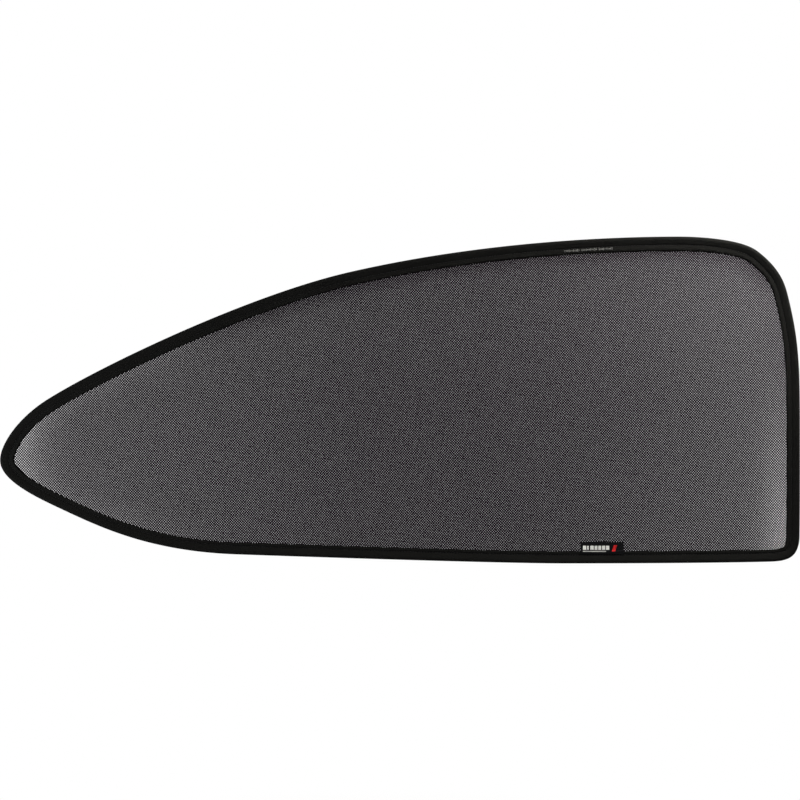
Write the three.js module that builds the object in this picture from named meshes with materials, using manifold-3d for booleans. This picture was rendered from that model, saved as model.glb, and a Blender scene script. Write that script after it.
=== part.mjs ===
// A framed mesh sunshade for a car's side window: mesh cloth stretched in a ring of spring wire, with a
// folded tape round the edge that also hides a row of flat magnets. Millimetres. The shade stands upright as
// in the car door: X runs from the nose to the rear edge, Z is up, and the cabin side faces -Y. The origin is
// the middle of the whole shade.
import * as THREE from "three";
import { mergeVertices } from "three/addons/utils/BufferGeometryUtils.js";
import Module from "manifold-3d";

// Outline, along the outside of the edge tape
const SHADE_LENGTH = 930;
const SHADE_HEIGHT = 380;
const NOSE_HEIGHT = 120; // nose tip above the sill line
const SILL_LOW_SETBACK = 274; // lowest sill point, ahead of the rear edge
const ROOF_PEAK_SETBACK = 140; // highest roof point, ahead of the rear edge
const REAR_EDGE_HEIGHT = 134; // rearmost point above the sill line

// Edge tape and what it covers
const TAPE_THICKNESS = 0.7;
const WIRE_DIAMETER = 2.6;
const WIRE_END_GAP = 0.6; // between the wire's two ends, inside the ferrule
const FERRULE_LENGTH = 24;
const FERRULE_WALL = 0.4;
const CLEARANCE = 0.3; // between pieces that touch on the real shade

// Bar magnets
const MAGNET_LENGTH = 20;
const MAGNET_WIDTH = 4;
const MAGNET_THICKNESS = 1.5;
const ROOF_MAGNETS = 7;
const REAR_MAGNETS = 2;
const SILL_MAGNETS = 3;

// Mesh cloth
const MESH_THICKNESS = 0.8;
const RIDGE_HEIGHT = 0.3; // threads stand this proud of the hollows between them
const CELL_LENGTH = 17; // one diamond between the ridges, along X
const CELL_HEIGHT = 18.5; // and along Z
const GAP_RADIUS = 4; // middle of a gap in the cloth to its corners
const GAP_CORNERS = 4;
const GAP_MARGIN = 0.5; // least cloth between a gap and the tape
const GAP_EVERY = 4; // one cell in four has a gap, along both diagonals

// Woven label on the sill
const LABEL_LENGTH = 50;
const LABEL_HEIGHT = 14;
const LABEL_THICKNESS = 0.5;
const LABEL_LAP = 3; // how far it laps over the tape
const LABEL_STEP = 1; // height over which it goes down from the tape to the cloth
const LABEL_SETBACK = 230; // label middle, ahead of the rear edge

// How finely curves are stepped
const MOST_TURN = THREE.MathUtils.degToRad(8);
const LONGEST_STEP = 50;
const SAMPLES_PER_SPAN = 200;
const ROUND_SIDES = 12;
const WIRE_SIDES = 8;
const CASING_STEPS = 7;
const SAME_POINT = 1e-4; // corners closer than this are joined

// Everything inside the tape is placed by its depth inward from the outline and by its Y, with the wire at Y 0
const WIRE_RADIUS = WIRE_DIAMETER / 2;
const FERRULE_RADIUS = WIRE_RADIUS + CLEARANCE + FERRULE_WALL;
const CASING_BORE = FERRULE_RADIUS + CLEARANCE;
const CASING_RADIUS = CASING_BORE + TAPE_THICKNESS;
const WIRE_DEPTH = CASING_RADIUS;
const MAGNET_DEPTH = WIRE_DEPTH + WIRE_RADIUS + CLEARANCE + MAGNET_WIDTH / 2;
const MESH_EDGE_DEPTH = MAGNET_DEPTH + MAGNET_WIDTH / 2 + CLEARANCE;
const BACK_FACE = CASING_RADIUS;
const BACK_LINING = CASING_BORE;
const MAGNET_BACK = BACK_LINING - CLEARANCE;
const MAGNET_FRONT = MAGNET_BACK - MAGNET_THICKNESS;
const MESH_BACK = BACK_LINING - CLEARANCE;
const MESH_FRONT = MESH_BACK - MESH_THICKNESS;
const SEAM_LINING = MESH_FRONT - CLEARANCE;
const SEAM_FACE = SEAM_LINING - TAPE_THICKNESS;
const POCKET_LINING = Math.min(MAGNET_FRONT - CLEARANCE, SEAM_LINING);
const POCKET_FACE = POCKET_LINING - TAPE_THICKNESS;

// Directions in the tape's section, in degrees about the wire. 0 points inward and 90 to the back.
const TO_BACK = 90;
const CASING_END = 300; // where the tape leaves the wire for the magnets, outside
const LINING_END = 315; // and inside

// Where the outline's curve spans join, counterclockwise as seen from the cabin. x and z are from the nose tip
// and the sill line, heading is the edge's direction in degrees, and reach is how far the curve's handles go
// before and after the knot, as shares of the way to the next one. seam is the width of the tape's flat inner
// border there, where it is sewn to the cloth.
const rearX = (setback) => SHADE_LENGTH - setback;
const underRoof = (drop) => SHADE_HEIGHT - drop;
const KNOTS = {
  sillLow: { x: rearX(SILL_LOW_SETBACK), z: 0, heading: 0, reach: [0.2, 0.2], seam: 5 },
  sillRear: { x: rearX(36.5), z: 2, heading: 1.5, reach: [0.28, 0.43], seam: 5.1 },
  rearLow: { x: rearX(0.5), z: 32.5, heading: 89, reach: [0.59, 0.32], seam: 6.3 },
  rearEdge: { x: SHADE_LENGTH, z: REAR_EDGE_HEIGHT, heading: 90, reach: [0.34, 0.53], seam: 6.3 },
  rearHigh: { x: rearX(14.5), z: underRoof(67), heading: 104, reach: [0.33, 0.22], seam: 6.2 },
  roofCorner: { x: rearX(50), z: underRoof(16.5), heading: 143, reach: [0.53, 0.26], seam: 7 },
  roofPeak: { x: rearX(ROOF_PEAK_SETBACK), z: SHADE_HEIGHT, heading: 180, reach: [0.2, 0.25], seam: 8.1 },
  roofMiddle: { x: 405, z: underRoof(41.5), heading: 193, reach: [0.38, 0.31], seam: 6.9 },
  roofFront: { x: 55.5, z: NOSE_HEIGHT + 71, heading: 212, reach: [0.2, 0.46], seam: 6.3 },
  nose: { x: 0, z: NOSE_HEIGHT, heading: 270, reach: [0.2, 0.25], seam: 7.2 },
  noseLow: { x: 68.5, z: NOSE_HEIGHT - 55.5, heading: 335, reach: [0.4, 0.24], seam: 5.2 },
  sillFront: { x: 275, z: 10.5, heading: 358, reach: [0.48, 0.2], seam: 5 },
};
const KNOT_NAMES = Object.keys(KNOTS);

const wasm = await Module();
wasm.setup();

const clothBlack = new THREE.MeshStandardMaterial({ color: 0x2b2b2d, roughness: 0.9, metalness: 0 });
const tapeBlack = new THREE.MeshStandardMaterial({ color: 0x131314, roughness: 0.85, metalness: 0 });
const labelBlack = new THREE.MeshStandardMaterial({ color: 0x1b1b1d, roughness: 0.7, metalness: 0 });
const springSteel = new THREE.MeshStandardMaterial({ color: 0x8d9094, roughness: 0.35, metalness: 1 });
const nickel = new THREE.MeshStandardMaterial({ color: 0xb9b7b0, roughness: 0.3, metalness: 1 });

const direction = (degrees) => {
  const angle = THREE.MathUtils.degToRad(degrees);
  return new THREE.Vector2(Math.cos(angle), Math.sin(angle));
};

// One cubic span of the outline, from a knot to the next, about the shade's middle
function outlineSpan(from, to) {
  const middle = new THREE.Vector2(SHADE_LENGTH / 2, SHADE_HEIGHT / 2);
  const start = new THREE.Vector2(from.x, from.z).sub(middle);
  const end = new THREE.Vector2(to.x, to.z).sub(middle);
  const chord = start.distanceTo(end);
  const leaving = start.clone().addScaledVector(direction(from.heading), from.reach[1] * chord);
  const arriving = end.clone().addScaledVector(direction(to.heading), -to.reach[0] * chord);
  return new THREE.CubicBezierCurve(start, leaving, arriving, end);
}

// Stations along one span, closer together where the edge turns more. Each has its place, the edge's direction
// and the seam width.
function spanStations(from, to) {
  const curve = outlineSpan(from, to);
  const spent = [0];
  for (let i = 1; i <= SAMPLES_PER_SPAN; i += 1) {
    const [before, now] = [(i - 1) / SAMPLES_PER_SPAN, i / SAMPLES_PER_SPAN];
    const turn = curve.getTangent(before).angleTo(curve.getTangent(now));
    const step = curve.getPoint(before).distanceTo(curve.getPoint(now));
    spent.push(spent[i - 1] + turn / MOST_TURN + step / LONGEST_STEP);
  }
  const count = Math.ceil(spent.at(-1));
  return Array.from({ length: count }, (_, k) => {
    const share = (spent.at(-1) * k) / count;
    const t = spent.findIndex((value) => value >= share) / SAMPLES_PER_SPAN;
    const seam = THREE.MathUtils.lerp(from.seam, to.seam, THREE.MathUtils.smoothstep(t, 0, 1));
    return { place: curve.getPoint(t), along: curve.getTangent(t), seam };
  });
}

// The whole outline as a ring of stations, and the number of the one at each knot
const STATIONS = [];
const STATION_AT = {};
KNOT_NAMES.forEach((name, i) => {
  const next = KNOT_NAMES[(i + 1) % KNOT_NAMES.length];
  STATION_AT[name] = STATIONS.length;
  STATIONS.push(...spanStations(KNOTS[name], KNOTS[next]));
});

// A point at a depth inward from the outline's edge
function inward(station, depth) {
  const { place, along } = station;
  return new THREE.Vector2(place.x - along.y * depth, place.y + along.x * depth);
}

const inset = (depth) => STATIONS.map((station) => inward(station, depth));

// Turns a three.js geometry into a solid for joining and cutting
function solid(geometry) {
  const bare = new THREE.BufferGeometry();
  bare.setAttribute("position", geometry.getAttribute("position"));
  bare.setIndex(geometry.getIndex());
  const merged = mergeVertices(bare, SAME_POINT);
  return new wasm.Manifold(new wasm.Mesh({
    numProp: 3,
    vertProperties: new Float32Array(merged.getAttribute("position").array),
    triVerts: new Uint32Array(merged.getIndex().array),
  }));
}

function geometryOf(manifold) {
  const mesh = manifold.getMesh();
  return indexedGeometry(mesh.vertProperties, mesh.triVerts);
}

function indexedGeometry(positions, triangles) {
  const geometry = new THREE.BufferGeometry();
  geometry.setAttribute("position", new THREE.BufferAttribute(new Float32Array(positions), 3));
  geometry.setIndex(new THREE.BufferAttribute(new Uint32Array(triangles), 1));
  geometry.computeVertexNormals();
  return geometry;
}

function piece(name, geometry, material) {
  const mesh = new THREE.Mesh(geometry, material.clone());
  mesh.name = name;
  return mesh;
}

// An arc of a section as [depth, y] points about the wire's centre
function arc(radius, fromDegrees, toDegrees, steps) {
  return Array.from({ length: steps + 1 }, (_, i) => {
    const at = direction(THREE.MathUtils.lerp(fromDegrees, toDegrees, i / steps));
    return [WIRE_DEPTH + radius * at.x, radius * at.y];
  });
}

// The folded tape's section at one station: round over the wire, flat at the back, sloping at the front over
// the magnets, and open at the inner edge, where the cloth goes in
function tapeSection(station) {
  const lip = MESH_EDGE_DEPTH + station.seam;
  const fold = TAPE_THICKNESS;
  const outside = arc(CASING_RADIUS, TO_BACK, CASING_END, CASING_STEPS);
  const inside = arc(CASING_BORE, LINING_END, TO_BACK, CASING_STEPS);
  return [
    [lip, BACK_FACE],
    ...outside,
    [MESH_EDGE_DEPTH, POCKET_FACE],
    [MESH_EDGE_DEPTH + fold, SEAM_FACE],
    [lip, SEAM_FACE],
    [lip, SEAM_LINING],
    [MESH_EDGE_DEPTH + fold / 2, SEAM_LINING],
    [MESH_EDGE_DEPTH, POCKET_LINING],
    ...inside,
    [lip, BACK_LINING],
  ];
}

// The tape goes right round, so its sections close into a ring
function edgeBinding() {
  const positions = [];
  const triangles = [];
  STATIONS.forEach((station) => {
    tapeSection(station).forEach(([depth, y]) => {
      const at = inward(station, depth);
      positions.push(at.x, y, at.y);
    });
  });
  const corners = tapeSection(STATIONS[0]).length;
  STATIONS.forEach((_, i) => {
    const here = i * corners;
    const next = ((i + 1) % STATIONS.length) * corners;
    for (let j = 0; j < corners; j += 1) {
      const k = (j + 1) % corners;
      triangles.push(here + j, next + j, here + k);
      triangles.push(here + k, next + j, next + k);
    }
  });
  return piece("edge_binding", indexedGeometry(positions, triangles), tapeBlack);
}

// The wire's centre line, which starts and ends inside the ferrule. It has a section at each station.
class WirePath extends THREE.Curve {
  constructor() {
    super();
    const ring = [...STATIONS, STATIONS[0]];
    this.points = ring.map((station) => inward(station, WIRE_DEPTH));
    this.tangents = ring.map((station) => station.along);
    this.points[0].addScaledVector(this.tangents[0], WIRE_END_GAP / 2);
    this.points.at(-1).addScaledVector(this.tangents[0], -WIRE_END_GAP / 2);
  }

  getPoint(t) {
    const at = this.points[Math.round(t * (this.points.length - 1))];
    return new THREE.Vector3(at.x, 0, at.y);
  }

  getTangent(t) {
    const along = this.tangents[Math.round(t * (this.tangents.length - 1))];
    return new THREE.Vector3(along.x, 0, along.y);
  }

  getUtoTmapping(u) {
    return u;
  }
}

function circle(radius, sides) {
  const headings = Array.from({ length: sides }, (_, i) => (i * 360) / sides);
  return new THREE.Shape(headings.map((heading) => direction(heading).multiplyScalar(radius)));
}

function frameWire() {
  const path = new WirePath();
  const settings = { steps: STATIONS.length, extrudePath: path };
  const geometry = new THREE.ExtrudeGeometry(circle(WIRE_RADIUS, WIRE_SIDES), settings);
  return piece("frame_wire", geometry, springSteel);
}

// Turns a mesh that was made along X to lie along the edge, at a depth from it
function layAlong(mesh, station, depth) {
  const at = inward(station, depth);
  mesh.position.x = at.x;
  mesh.position.z = at.y;
  mesh.rotation.y = -station.along.angle();
  return mesh;
}

function wireFerrule() {
  const bore = WIRE_RADIUS + CLEARANCE;
  const half = FERRULE_LENGTH / 2;
  const profile = [
    new THREE.Vector2(bore, -half),
    new THREE.Vector2(FERRULE_RADIUS, -half),
    new THREE.Vector2(FERRULE_RADIUS, half),
    new THREE.Vector2(bore, half),
    new THREE.Vector2(bore, -half),
  ];
  const geometry = new THREE.LatheGeometry(profile, ROUND_SIDES);
  geometry.rotateZ(-Math.PI / 2);
  return layAlong(piece("wire_ferrule", geometry, springSteel), STATIONS[0], WIRE_DEPTH);
}

// A station anywhere between two others of the ring
function between(first, second, share) {
  return {
    place: first.place.clone().lerp(second.place, share),
    along: first.along.clone().lerp(second.along, share).normalize(),
  };
}

// Places spread evenly along the edge from one knot to another
function spread(count, fromKnot, toKnot) {
  const run = STATIONS.slice(STATION_AT[fromKnot], STATION_AT[toKnot] + 1);
  const gone = [0];
  for (let i = 1; i < run.length; i += 1) {
    gone.push(gone[i - 1] + run[i].place.distanceTo(run[i - 1].place));
  }
  return Array.from({ length: count }, (_, i) => {
    const target = (gone.at(-1) * (i + 0.5)) / count;
    const next = gone.findIndex((length) => length >= target);
    return between(run[next - 1], run[next], (target - gone[next - 1]) / (gone[next] - gone[next - 1]));
  });
}

function magnets() {
  const places = [
    ...spread(ROOF_MAGNETS, "roofPeak", "roofFront"),
    ...spread(REAR_MAGNETS, "rearLow", "rearHigh"),
    ...spread(SILL_MAGNETS, "noseLow", "sillFront"),
  ];
  return places.map((station, i) => {
    const geometry = new THREE.BoxGeometry(MAGNET_LENGTH, MAGNET_THICKNESS, MAGNET_WIDTH);
    const magnet = piece(`magnet_${String(i + 1).padStart(2, "0")}`, geometry, nickel);
    magnet.position.y = (MAGNET_BACK + MAGNET_FRONT) / 2;
    return layAlong(magnet, station, MAGNET_DEPTH);
  });
}

// A block as large as the shade whose front has crossing diagonal ridges: a grid of points, of which every
// second one is where ridges cross and the others are the hollows between them
function ridgedBlock(back) {
  const columns = Math.ceil(SHADE_LENGTH / CELL_LENGTH) + 1;
  const rows = Math.ceil(SHADE_HEIGHT / CELL_HEIGHT) + 1;
  const positions = [];
  const triangles = [];
  const index = new Map();
  const corner = (i, j, y) => {
    const key = `${i},${j},${y}`;
    if (!index.has(key)) {
      index.set(key, positions.length / 3);
      positions.push((i * CELL_LENGTH) / 2, y, (j * CELL_HEIGHT) / 2);
    }
    return index.get(key);
  };
  const sides = [[1, 0], [0, 1], [-1, 0], [0, -1]];
  for (let i = -columns; i <= columns; i += 1) {
    for (let j = -rows; j <= rows; j += 1) {
      if ((i + j) % 2 === 0) continue;
      sides.forEach(([di, dj], side) => {
        const [ei, ej] = sides[(side + 1) % sides.length];
        const here = [i + di, j + dj];
        const next = [i + ei, j + ej];
        const hollow = corner(i, j, MESH_FRONT + RIDGE_HEIGHT);
        triangles.push(hollow, corner(...here, MESH_FRONT), corner(...next, MESH_FRONT));
        triangles.push(corner(i, j, back), corner(...next, back), corner(...here, back));
        const outer = [i + di + ei, j + dj + ej];
        const inBlock = Math.abs(outer[0]) <= columns && Math.abs(outer[1]) <= rows;
        if (inBlock) return;
        triangles.push(corner(...here, MESH_FRONT), corner(...here, back), corner(...next, MESH_FRONT));
        triangles.push(corner(...next, MESH_FRONT), corner(...here, back), corner(...next, back));
      });
    }
  }
  return solid(indexedGeometry(positions, triangles));
}

function prism(outline, front, back) {
  const settings = { depth: back - front, bevelEnabled: false };
  const geometry = new THREE.ExtrudeGeometry(new THREE.Shape(outline), settings);
  geometry.rotateX(Math.PI / 2);
  geometry.translate(0, back, 0);
  return solid(geometry);
}

// Whether a place is in the cloth inside the tape, with room round it for a gap
function isOpenCloth(x, z) {
  return STATIONS.every((station) => {
    const toPlace = new THREE.Vector2(x, z).sub(inward(station, MESH_EDGE_DEPTH + station.seam));
    return station.along.cross(toPlace) > GAP_RADIUS + GAP_MARGIN;
  });
}

function clothGaps() {
  const through = (MESH_THICKNESS + CLEARANCE) * 2;
  const gaps = [];
  const most = Math.ceil(SHADE_LENGTH / CELL_LENGTH) + Math.ceil(SHADE_HEIGHT / CELL_HEIGHT);
  for (let up = -most; up <= most; up += 1) {
    for (let down = -most; down <= most; down += 1) {
      if (up % GAP_EVERY !== 0 || down % GAP_EVERY !== 0) continue;
      const x = ((up + down + 1) * CELL_LENGTH) / 2;
      const z = ((up - down) * CELL_HEIGHT) / 2;
      if (!isOpenCloth(x, z)) continue;
      const gap = new THREE.CylinderGeometry(GAP_RADIUS, GAP_RADIUS, through, GAP_CORNERS);
      gap.translate(x, (MESH_FRONT + MESH_BACK) / 2, z);
      gaps.push(solid(gap));
    }
  }
  return gaps;
}

function meshPanel() {
  const sheet = prism(inset(MESH_EDGE_DEPTH), MESH_FRONT - CLEARANCE, MESH_BACK);
  let cloth = sheet.intersect(ridgedBlock(MESH_BACK + CLEARANCE));
  clothGaps().forEach((gap) => {
    cloth = cloth.subtract(gap);
  });
  return piece("mesh_panel", geometryOf(cloth), clothBlack);
}

// The label lies on the tape's seam and steps down to the cloth. Its section runs up from the edge.
function wovenLabel() {
  const rearmost = SHADE_LENGTH / 2 - LABEL_SETBACK;
  const sill = STATIONS.slice(0, STATION_AT.sillRear + 1);
  const next = sill.findIndex((station) => station.place.x >= rearmost);
  const [before, after] = [sill[next - 1], sill[next]];
  const share = (rearmost - before.place.x) / (after.place.x - before.place.x);
  const lip = MESH_EDGE_DEPTH + THREE.MathUtils.lerp(before.seam, after.seam, share);
  const onTape = SEAM_FACE - CLEARANCE;
  const onCloth = MESH_FRONT - CLEARANCE;
  const bottom = lip - LABEL_LAP;
  const top = bottom + LABEL_HEIGHT;
  const offTape = lip + CLEARANCE;
  const section = new THREE.Shape([
    new THREE.Vector2(bottom, onTape),
    new THREE.Vector2(bottom, onTape - LABEL_THICKNESS),
    new THREE.Vector2(offTape, onTape - LABEL_THICKNESS),
    new THREE.Vector2(offTape + LABEL_STEP, onCloth - LABEL_THICKNESS),
    new THREE.Vector2(top, onCloth - LABEL_THICKNESS),
    new THREE.Vector2(top, onCloth),
    new THREE.Vector2(offTape + LABEL_STEP, onCloth),
    new THREE.Vector2(offTape, onTape),
  ]);
  const geometry = new THREE.ExtrudeGeometry(section, { depth: LABEL_LENGTH, bevelEnabled: false });
  geometry.translate(0, 0, -LABEL_LENGTH / 2);
  const toEdge = new THREE.Matrix4().makeBasis(
    new THREE.Vector3(0, 0, 1),
    new THREE.Vector3(0, 1, 0),
    new THREE.Vector3(-1, 0, 0),
  );
  geometry.applyMatrix4(toEdge);
  return layAlong(piece("woven_label", geometry, labelBlack), between(before, after, share), 0);
}

const shade = new THREE.Group();
shade.add(meshPanel(), edgeBinding(), frameWire(), wireFerrule(), wovenLabel(), ...magnets());

export default shade;
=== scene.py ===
"""Dresses the car side window sunshade: the stretched net, the folded edge tape with its stitching, the sewn
label, the print on the tape, the steel and magnets inside it, and a plain white studio.

Blender works in metres. The shade stands upright, with X from its nose to its rear edge, Z up, and the cabin
side facing -Y. Depth is the distance inward from the outline's edge.
"""

import math

import bpy
import numpy as np
from bpy.props import FloatProperty, FloatVectorProperty, IntProperty, PointerProperty
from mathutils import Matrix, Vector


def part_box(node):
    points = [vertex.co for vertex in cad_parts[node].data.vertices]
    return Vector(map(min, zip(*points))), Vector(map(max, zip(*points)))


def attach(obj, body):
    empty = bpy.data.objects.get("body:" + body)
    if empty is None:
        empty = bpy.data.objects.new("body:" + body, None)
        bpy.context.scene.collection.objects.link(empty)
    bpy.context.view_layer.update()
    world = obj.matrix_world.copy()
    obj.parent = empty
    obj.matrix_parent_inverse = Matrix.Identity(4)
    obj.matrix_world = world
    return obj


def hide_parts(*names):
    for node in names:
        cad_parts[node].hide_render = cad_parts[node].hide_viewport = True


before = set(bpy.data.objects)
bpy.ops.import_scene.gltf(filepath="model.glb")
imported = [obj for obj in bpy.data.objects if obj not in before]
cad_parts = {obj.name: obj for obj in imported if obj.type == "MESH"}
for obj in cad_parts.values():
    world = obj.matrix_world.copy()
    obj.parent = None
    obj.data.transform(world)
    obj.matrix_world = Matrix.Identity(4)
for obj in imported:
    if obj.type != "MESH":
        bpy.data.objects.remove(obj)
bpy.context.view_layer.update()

bl_info = {
    "name": "Side Window Sunshade",
    "version": (1, 0, 0),
    "blender": (4, 5, 0),
    "location": "3D View > Sidebar > Sunshade",
    "description": "Makes the cloth, tape, stitching, label and studio of a side window sunshade",
    "category": "Object",
}

BODY = "root"
MM = 0.001
TAPE_LOW, TAPE_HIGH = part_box("edge_binding")
PANEL_LOW, PANEL_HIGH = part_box("mesh_panel")
LABEL_LOW, LABEL_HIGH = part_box("woven_label")

# The tape and what lies in it, from the frame
CASING_RADIUS = (TAPE_HIGH[1] - TAPE_LOW[1]) / 2
PANEL_EDGE = PANEL_LOW[0] - TAPE_LOW[0]
TAPE_THICKNESS = 0.7 * MM
CLEARANCE = 0.3 * MM
SEAM_FACE = PANEL_LOW[1] - CLEARANCE - TAPE_THICKNESS
NET_MIDDLE = (PANEL_LOW[1] + PANEL_HIGH[1]) / 2

# Knots of the outline, counterclockwise as seen from the cabin: millimetres from the nose tip and from the
# sill line, the heading in degrees, the reach of the curve's handles before and after the knot as shares of
# the way to the next one, and the width of the tape's flat inner border
KNOTS = (
    (656, 0, 0, 0.2, 0.2, 5),
    (893.5, 2, 1.5, 0.28, 0.43, 5.1),
    (929.5, 32.5, 89, 0.59, 0.32, 6.3),
    (930, 134, 90, 0.34, 0.53, 6.3),
    (915.5, 313, 104, 0.33, 0.22, 6.2),
    (880, 363.5, 143, 0.53, 0.26, 7),
    (790, 380, 180, 0.2, 0.25, 8.1),
    (405, 338.5, 193, 0.38, 0.31, 6.9),
    (55.5, 191, 212, 0.2, 0.46, 6.3),
    (0, 120, 270, 0.2, 0.25, 7.2),
    (68.5, 64.5, 335, 0.4, 0.24, 5.2),
    (275, 10.5, 358, 0.48, 0.2, 5),
)
SAMPLES_PER_SPAN = 400

# The tape's section. The crest is how far inward from the casing's middle the cabin face leaves its round.
# The crease's points are millimetres inward from the sewn crease and Y from the border's face, the land's the
# same with the depth as a share of the border, and the groove's are how far they lie under the tape's back.
CREST = 1.3 * MM
CREASE_POINTS = ((-3.3, -1.8), (-1.6, -0.9), (-0.7, -0.08), (0, 0.32), (0.7, -0.02))
LAND_POINTS = ((0.38, -0.24), (0.7, -0.2))
GROOVE_POINTS = ((1.2, 0.02), (0.4, 0.13), (0, 0.2), (-0.4, 0.13), (-1.2, 0.02))
LEDGE_FACE = 0.82 * MM
LEDGE_LINING = 1.12 * MM
LEAST_OVERLAP = 0.1

# The border's ripples: their share of the pucker, the counts of crests round the outline, and the phases
FINE_RIPPLE = (0.65, (173, 238, 311), (0.4, 2.1, 4.4))
COARSE_RIPPLE = (0.5, (37, 61), (1.3, 5.2))


class TapeSizes(bpy.types.PropertyGroup):
    """Sizes of the folded edge tape."""

    step: FloatProperty(
        name="Step", description="Length of one step along the outline", default=3 * MM, unit="LENGTH")
    pucker: FloatProperty(
        name="Pucker", description="How far the sewn border ripples", default=0.14 * MM, unit="LENGTH")
    crease_inset: FloatProperty(
        name="Crease Inset", description="Cloth's edge to the sewn crease", default=0.9 * MM, unit="LENGTH")
    overlap: FloatProperty(
        name="Overlap", description="Most that the back of the tape shows past its front", default=1.6 * MM,
        unit="LENGTH")
    colour: FloatVectorProperty(
        name="Colour", description="Colour of the knitted tape", subtype="COLOR",
        default=(0.0064, 0.0064, 0.0062))


class NetSizes(bpy.types.PropertyGroup):
    """Sizes of the net and of its threads."""

    thickness: FloatProperty(
        name="Thread Thickness", description="Thickness of one thread", default=0.3 * MM, unit="LENGTH")
    openness: FloatProperty(
        name="Openness", description="Share of the net's area that is holes in the middle", default=0.045,
        subtype="FACTOR")
    # Painted light: the rear, nose and extra openness stand in for brighter light seen through the cloth there
    rear_openness: FloatProperty(
        name="Rear Openness", description="Share that is holes before the rear edge", default=0.091,
        subtype="FACTOR")
    nose_openness: FloatProperty(
        name="Nose Openness", description="Share that is holes in the nose", default=0.075, subtype="FACTOR")
    painted_light_openness: FloatProperty(
        name="Drawn Openness", description="What the rear low corner and the nose tip add to that share",
        default=0.15, subtype="FACTOR")
    colour: FloatVectorProperty(
        name="Colour", description="Colour of the net's threads", subtype="COLOR",
        default=(0.0095, 0.0068, 0.0102))


class StitchSizes(bpy.types.PropertyGroup):
    """Sizes of the lockstitch along the tape."""

    pitch: FloatProperty(
        name="Pitch", description="One stitch to the next", default=3.2 * MM, unit="LENGTH")
    length: FloatProperty(
        name="Stitch Length", description="Length of a stitch", default=2.7 * MM, unit="LENGTH")
    radius: FloatProperty(
        name="Thread Radius", description="Half a stitch's width", default=0.24 * MM, unit="LENGTH")


class LabelSizes(bpy.types.PropertyGroup):
    """Sizes of the label and of the print on the tape."""

    thickness: FloatProperty(
        name="Label Thickness", description="Thickness of the woven label", default=0.5 * MM, unit="LENGTH")
    print_count: IntProperty(
        name="Print Marks", description="How many marks are printed on the roof tape", default=34, min=1)
    print_height: FloatProperty(
        name="Print Height", description="Height of a printed mark", default=2.9 * MM, unit="LENGTH")


class StageSizes(bpy.types.PropertyGroup):
    """Sizes of the studio."""

    lens: FloatProperty(name="Lens", description="Focal length of the camera", default=100)
    floor_drop: FloatProperty(
        name="Floor Drop", description="How far the floor lies under the shade", default=0.42, unit="LENGTH")
    lamp_strength: FloatProperty(
        name="Lamp Strength", description="Power of the lamp behind the shade", default=9, unit="POWER")


# The outline and the tape's surface


def ramp(low, high, values):
    """0 at low, 1 at high, and a straight climb between."""
    return np.clip((values - low) / (high - low), 0, 1)


def smooth(shares):
    """Shares from 0 to 1 with a soft start and end."""
    return shares ** 2 * (3 - 2 * shares)


def direction(degrees):
    angle = math.radians(degrees)
    return np.array([math.cos(angle), math.sin(angle)])


def sampled_outline():
    """The outline as a dense ring of places, edge directions and seam widths."""
    nose_sill = np.array([TAPE_LOW[0], TAPE_LOW[2]])
    t = (np.arange(SAMPLES_PER_SPAN) / SAMPLES_PER_SPAN)[:, None]
    left = 1 - t
    places, alongs, seams = [], [], []
    for here, there in zip(KNOTS, KNOTS[1:] + KNOTS[:1]):
        start = nose_sill + np.array(here[:2]) * MM
        end = nose_sill + np.array(there[:2]) * MM
        chord = np.linalg.norm(end - start)
        leaving = start + direction(here[2]) * here[4] * chord
        arriving = end - direction(there[2]) * there[3] * chord
        places.append(
            left ** 3 * start + 3 * left ** 2 * t * leaving + 3 * left * t ** 2 * arriving + t ** 3 * end)
        along = (left ** 2 * (leaving - start) + 2 * left * t * (arriving - leaving)
                 + t ** 2 * (end - arriving))
        alongs.append(along / np.linalg.norm(along, axis=1, keepdims=True))
        seams.append((here[5] + (there[5] - here[5]) * smooth(t[:, 0])) * MM)
    return np.concatenate(places), np.concatenate(alongs), np.concatenate(seams)


class Outline:
    """The outline, read anywhere by its distance along the edge."""

    def __init__(self):
        places, alongs, seams = sampled_outline()
        places, alongs, seams = (np.concatenate([a, a[:1]]) for a in (places, alongs, seams))
        steps = np.linalg.norm(np.diff(places, axis=0), axis=1)
        self.gone = np.concatenate([[0], np.cumsum(steps)])
        self.length = self.gone[-1]
        self.places, self.alongs, self.seams = places, alongs, seams

    def read(self, gone, values):
        gone = np.mod(gone, self.length)
        if values.ndim == 1:
            return np.interp(gone, self.gone, values)
        return np.stack([np.interp(gone, self.gone, column) for column in values.T], axis=-1)

    def place(self, gone, depth):
        """X and Z of the points at a distance along the edge and a depth from it."""
        along = self.read(gone, self.alongs)
        along /= np.linalg.norm(along, axis=-1, keepdims=True)
        inward = np.stack([-along[..., 1], along[..., 0]], axis=-1)
        return self.read(gone, self.places) + inward * np.asarray(depth)[..., None]

    def lip(self, gone):
        """Depth of the tape's inner edge at the back."""
        return PANEL_EDGE + self.read(gone, self.seams)

    def front_lip(self, gone, overlap):
        """Depth of the tape's inner edge in front. It falls short of the back by most at a wide border."""
        seam = self.read(gone, self.seams)
        narrow, wide = self.seams.min(), self.seams.max()
        return PANEL_EDGE + seam - overlap * (LEAST_OVERLAP + (1 - LEAST_OVERLAP) * ramp(narrow, wide, seam))

    def even(self, step):
        """Distances along the edge, evenly spaced and about a step apart."""
        count = round(self.length / step)
        return np.arange(count) * self.length / count

    def on_roof(self, x):
        """Distance along the edge where the roof line passes an X."""
        top = np.nonzero(self.places[:-1, 1] > self.places[:, 1].max() * 0.4)[0]
        return self.gone[top[np.argmin(abs(self.places[top, 0] - x))]]


OUTLINE = Outline()


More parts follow.
